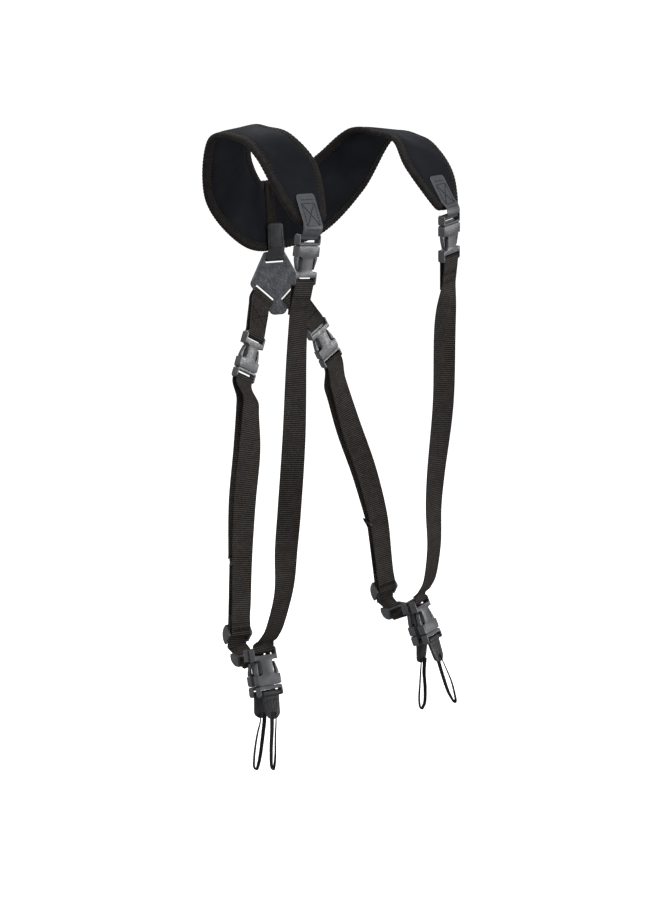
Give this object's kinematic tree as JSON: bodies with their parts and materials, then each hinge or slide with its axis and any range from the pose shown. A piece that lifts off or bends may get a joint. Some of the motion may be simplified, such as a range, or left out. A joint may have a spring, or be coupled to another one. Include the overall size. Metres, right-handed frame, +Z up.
{
  "type": "instrument shoulder harness",
  "caption": "Padded double shoulder harness with webbing straps, back plate and quick-release hip connectors ending in cord loops for carrying a wind instrument.",
  "frame": {"origin": "midway between the two shoulder pads, at the height of their arches' undersides, where the harness rests on the wearer", "axes": "+Z up; the wearer faces -Y, and +X is the wearer's left"},
  "size_m": [0.296, 0.19, 0.6934],
  "materials": {
    "neoprene": "matt",
    "binding": "matt",
    "webbing": "matt",
    "leather": "satin",
    "plate_leather": "satin",
    "buckle_plastic": "satin",
    "cord": "matt"
  },
  "bodies": {
    "root": {"back_seam": "binding", "back_tab": "leather", "back_plate": "plate_leather", "shoulder_pad_right": "neoprene", "pad_binding_right": "binding", "front_tab_right": "leather", "back_loop_right": "webbing", "strap_right": "webbing", "strap_return_right": "webbing", "front_socket_right": "buckle_plastic", "front_plug_right": "buckle_plastic", "back_socket_right": "buckle_plastic", "back_plug_right": "buckle_plastic", "shoulder_pad_left": "neoprene", "pad_binding_left": "binding", "front_tab_left": "leather", "back_loop_left": "webbing", "strap_left": "webbing", "strap_return_left": "webbing", "front_socket_left": "buckle_plastic", "front_plug_left": "buckle_plastic", "back_socket_left": "buckle_plastic", "back_plug_left": "buckle_plastic"},
    "stop_slider_right": {"stop_slider_right": "buckle_plastic"},
    "adjuster_right": {"adjuster_right": "buckle_plastic"},
    "front_catch_a_right": {"front_catch_a_right": "buckle_plastic"},
    "front_catch_b_right": {"front_catch_b_right": "buckle_plastic"},
    "back_catch_a_right": {"back_catch_a_right": "buckle_plastic"},
    "back_catch_b_right": {"back_catch_b_right": "buckle_plastic"},
    "lower_front_socket_right": {"lower_front_socket_right": "buckle_plastic"},
    "lower_front_plug_right": {"lower_front_plug_right": "buckle_plastic"},
    "front_loop_right": {"front_loop_tab_right": "leather", "front_cord_loop_right": "cord"},
    "lower_front_catch_a_right": {"lower_front_catch_a_right": "buckle_plastic"},
    "lower_front_catch_b_right": {"lower_front_catch_b_right": "buckle_plastic"},
    "lower_back_socket_right": {"lower_back_socket_right": "buckle_plastic"},
    "lower_back_plug_right": {"lower_back_plug_right": "buckle_plastic"},
    "back_loop_right": {"back_loop_tab_right": "leather", "back_cord_loop_right": "cord"},
    "lower_back_catch_a_right": {"lower_back_catch_a_right": "buckle_plastic"},
    "lower_back_catch_b_right": {"lower_back_catch_b_right": "buckle_plastic"},
    "stop_slider_left": {"stop_slider_left": "buckle_plastic"},
    "adjuster_left": {"adjuster_left": "buckle_plastic"},
    "front_catch_a_left": {"front_catch_a_left": "buckle_plastic"},
    "front_catch_b_left": {"front_catch_b_left": "buckle_plastic"},
    "back_catch_a_left": {"back_catch_a_left": "buckle_plastic"},
    "back_catch_b_left": {"back_catch_b_left": "buckle_plastic"},
    "lower_front_socket_left": {"lower_front_socket_left": "buckle_plastic"},
    "lower_front_plug_left": {"lower_front_plug_left": "buckle_plastic"},
    "front_loop_left": {"front_loop_tab_left": "leather", "front_cord_loop_left": "cord"},
    "lower_front_catch_a_left": {"lower_front_catch_a_left": "buckle_plastic"},
    "lower_front_catch_b_left": {"lower_front_catch_b_left": "buckle_plastic"},
    "lower_back_socket_left": {"lower_back_socket_left": "buckle_plastic"},
    "lower_back_plug_left": {"lower_back_plug_left": "buckle_plastic"},
    "back_loop_left": {"back_loop_tab_left": "leather", "back_cord_loop_left": "cord"},
    "lower_back_catch_a_left": {"lower_back_catch_a_left": "buckle_plastic"},
    "lower_back_catch_b_left": {"lower_back_catch_b_left": "buckle_plastic"}
  },
  "joints": [
    {"name": "stop_slider_slide_right", "type": "slide", "parent": "root", "child": "stop_slider_right", "axis": [0.0499, 0.799, 0.5993], "range_m": [-0.001, 0.001]},
    {"name": "adjuster_slide_right", "type": "slide", "parent": "root", "child": "adjuster_right", "axis": [0.1063, 0.0708, 0.9918], "range_m": [0, 0.07], "deforming": ["strap_return_right"]},
    {"name": "front_squeeze_a_right", "type": "hinge", "parent": "root", "child": "front_catch_a_right", "pos_m": [-0.09692, -0.0751, -0.09921], "axis": [0.0586, 0.9964, 0.0607], "range_deg": [0, 6], "stiffness_Nm_per_rad": 0.1},
    {"name": "front_squeeze_b_right", "type": "hinge", "parent": "root", "child": "front_catch_b_right", "pos_m": [-0.11837, -0.07397, -0.09695], "axis": [-0.0586, -0.9964, -0.0607], "range_deg": [0, 6], "stiffness_Nm_per_rad": 0.1},
    {"name": "back_squeeze_a_right", "type": "hinge", "parent": "root", "child": "back_catch_a_right", "pos_m": [-0.07388, 0.06671, -0.25046], "axis": [-0.0451, 0.9951, -0.0885], "range_deg": [0, 6], "stiffness_Nm_per_rad": 0.1},
    {"name": "back_squeeze_b_right", "type": "hinge", "parent": "root", "child": "back_catch_b_right", "pos_m": [-0.05463, 0.06671, -0.26027], "axis": [0.0451, -0.9951, 0.0885], "range_deg": [0, 6], "stiffness_Nm_per_rad": 0.1},
    {"name": "lower_front_swing_right", "type": "hinge", "parent": "root", "child": "lower_front_socket_right", "pos_m": [-0.1235, -0.0205, -0.542], "axis": [0.9803, -0.1905, -0.0523], "range_deg": [-40, 6]},
    {"name": "lower_front_release_right", "type": "slide", "parent": "lower_front_socket_right", "child": "lower_front_plug_right", "axis": [-0.1218, -0.3744, -0.9192], "range_m": [0, 0.03], "deforming": ["lower_front_catch_a_right", "lower_front_catch_b_right"]},
    {"name": "front_loop_swing_right", "type": "hinge", "parent": "lower_front_plug_right", "child": "front_loop_right", "pos_m": [-0.12923, -0.03809, -0.5852], "axis": [0.9803, -0.1905, -0.0523], "range_deg": [-45, 20]},
    {"name": "lower_front_squeeze_a_right", "type": "hinge", "parent": "lower_front_plug_right", "child": "lower_front_catch_a_right", "pos_m": [-0.13874, -0.03274, -0.57655], "axis": [0.1556, 0.9075, -0.3902], "range_deg": [0, 6], "stiffness_Nm_per_rad": 0.1},
    {"name": "lower_front_squeeze_b_right", "type": "hinge", "parent": "lower_front_plug_right", "child": "lower_front_catch_b_right", "pos_m": [-0.11757, -0.03686, -0.57768], "axis": [-0.1556, -0.9075, 0.3902], "range_deg": [0, 6], "stiffness_Nm_per_rad": 0.1},
    {"name": "lower_back_swing_right", "type": "hinge", "parent": "root", "child": "lower_back_socket_right", "pos_m": [-0.1217, -0.0093, -0.5455], "axis": [0.9803, -0.1905, -0.0523], "range_deg": [-5, 1.5]},
    {"name": "lower_back_release_right", "type": "slide", "parent": "lower_back_socket_right", "child": "lower_back_plug_right", "axis": [-0.1107, -0.3101, -0.9442], "range_m": [0, 0.03], "deforming": ["lower_back_catch_a_right", "lower_back_catch_b_right"]},
    {"name": "back_loop_swing_right", "type": "hinge", "parent": "lower_back_plug_right", "child": "back_loop_right", "pos_m": [-0.1269, -0.02388, -0.58988], "axis": [0.9803, -0.1905, -0.0523], "range_deg": [-15, 40]},
    {"name": "lower_back_squeeze_a_right", "type": "hinge", "parent": "lower_back_plug_right", "child": "lower_back_catch_a_right", "pos_m": [-0.13652, -0.01909, -0.581], "axis": [0.1637, 0.9314, -0.3251], "range_deg": [0, 6], "stiffness_Nm_per_rad": 0.1},
    {"name": "lower_back_squeeze_b_right", "type": "hinge", "parent": "lower_back_plug_right", "child": "lower_back_catch_b_right", "pos_m": [-0.11534, -0.0232, -0.58213], "axis": [-0.1637, -0.9314, 0.3251], "range_deg": [0, 6], "stiffness_Nm_per_rad": 0.1},
    {"name": "stop_slider_slide_left", "type": "slide", "parent": "root", "child": "stop_slider_left", "axis": [-0.0499, 0.799, 0.5993], "range_m": [-0.001, 0.001]},
    {"name": "adjuster_slide_left", "type": "slide", "parent": "root", "child": "adjuster_left", "axis": [-0.1063, 0.0708, 0.9918], "range_m": [0, 0.07], "deforming": ["strap_return_left"]},
    {"name": "front_squeeze_a_left", "type": "hinge", "parent": "root", "child": "front_catch_a_left", "pos_m": [0.0971, -0.07586, -0.09921], "axis": [0.1107, -0.992, -0.0607], "range_deg": [0, 6], "stiffness_Nm_per_rad": 0.1},
    {"name": "front_squeeze_b_left", "type": "hinge", "parent": "root", "child": "front_catch_b_left", "pos_m": [0.11846, -0.07361, -0.09695], "axis": [-0.1107, 0.992, 0.0607], "range_deg": [0, 6], "stiffness_Nm_per_rad": 0.1},
    {"name": "back_squeeze_a_left", "type": "hinge", "parent": "root", "child": "back_catch_a_left", "pos_m": [0.07388, 0.06671, -0.25046], "axis": [-0.0451, -0.9951, 0.0885], "range_deg": [0, 6], "stiffness_Nm_per_rad": 0.1},
    {"name": "back_squeeze_b_left", "type": "hinge", "parent": "root", "child": "back_catch_b_left", "pos_m": [0.05463, 0.06671, -0.26027], "axis": [0.0451, 0.9951, -0.0885], "range_deg": [0, 6], "stiffness_Nm_per_rad": 0.1},
    {"name": "lower_front_swing_left", "type": "hinge", "parent": "root", "child": "lower_front_socket_left", "pos_m": [0.1235, -0.0205, -0.542], "axis": [0.9803, 0.1905, 0.0523], "range_deg": [-40, 6]},
    {"name": "lower_front_release_left", "type": "slide", "parent": "lower_front_socket_left", "child": "lower_front_plug_left", "axis": [0.1218, -0.3744, -0.9192], "range_m": [0, 0.03], "deforming": ["lower_front_catch_a_left", "lower_front_catch_b_left"]},
    {"name": "front_loop_swing_left", "type": "hinge", "parent": "lower_front_plug_left", "child": "front_loop_left", "pos_m": [0.12923, -0.03809, -0.5852], "axis": [0.9803, 0.1905, 0.0523], "range_deg": [-45, 20]},
    {"name": "lower_front_squeeze_a_left", "type": "hinge", "parent": "lower_front_plug_left", "child": "lower_front_catch_a_left", "pos_m": [0.13874, -0.03274, -0.57655], "axis": [0.1556, -0.9075, 0.3902], "range_deg": [0, 6], "stiffness_Nm_per_rad": 0.1},
    {"name": "lower_front_squeeze_b_left", "type": "hinge", "parent": "lower_front_plug_left", "child": "lower_front_catch_b_left", "pos_m": [0.11757, -0.03686, -0.57768], "axis": [-0.1556, 0.9075, -0.3902], "range_deg": [0, 6], "stiffness_Nm_per_rad": 0.1},
    {"name": "lower_back_swing_left", "type": "hinge", "parent": "root", "child": "lower_back_socket_left", "pos_m": [0.1217, -0.0093, -0.5455], "axis": [0.9803, 0.1905, 0.0523], "range_deg": [-5, 1.5]},
    {"name": "lower_back_release_left", "type": "slide", "parent": "lower_back_socket_left", "child": "lower_back_plug_left", "axis": [0.1107, -0.3101, -0.9442], "range_m": [0, 0.03], "deforming": ["lower_back_catch_a_left", "lower_back_catch_b_left"]},
    {"name": "back_loop_swing_left", "type": "hinge", "parent": "lower_back_plug_left", "child": "back_loop_left", "pos_m": [0.1269, -0.02388, -0.58988], "axis": [0.9803, 0.1905, 0.0523], "range_deg": [-15, 40]},
    {"name": "lower_back_squeeze_a_left", "type": "hinge", "parent": "lower_back_plug_left", "child": "lower_back_catch_a_left", "pos_m": [0.13652, -0.01909, -0.581], "axis": [0.1637, -0.9314, 0.3251], "range_deg": [0, 6], "stiffness_Nm_per_rad": 0.1},
    {"name": "lower_back_squeeze_b_left", "type": "hinge", "parent": "lower_back_plug_left", "child": "lower_back_catch_b_left", "pos_m": [0.11534, -0.0232, -0.58213], "axis": [-0.1637, 0.9314, -0.3251], "range_deg": [0, 6], "stiffness_Nm_per_rad": 0.1}
  ],
  "couplings": [
    {"joint": "front_squeeze_b_right", "follows": "front_squeeze_a_right", "ratio": 1},
    {"joint": "back_squeeze_b_right", "follows": "back_squeeze_a_right", "ratio": 1},
    {"joint": "lower_front_squeeze_b_right", "follows": "lower_front_squeeze_a_right", "ratio": 1},
    {"joint": "lower_back_squeeze_b_right", "follows": "lower_back_squeeze_a_right", "ratio": 1},
    {"joint": "front_squeeze_b_left", "follows": "front_squeeze_a_left", "ratio": 1},
    {"joint": "back_squeeze_b_left", "follows": "back_squeeze_a_left", "ratio": 1},
    {"joint": "lower_front_squeeze_b_left", "follows": "lower_front_squeeze_a_left", "ratio": 1},
    {"joint": "lower_back_squeeze_b_left", "follows": "lower_back_squeeze_a_left", "ratio": 1}
  ]
}
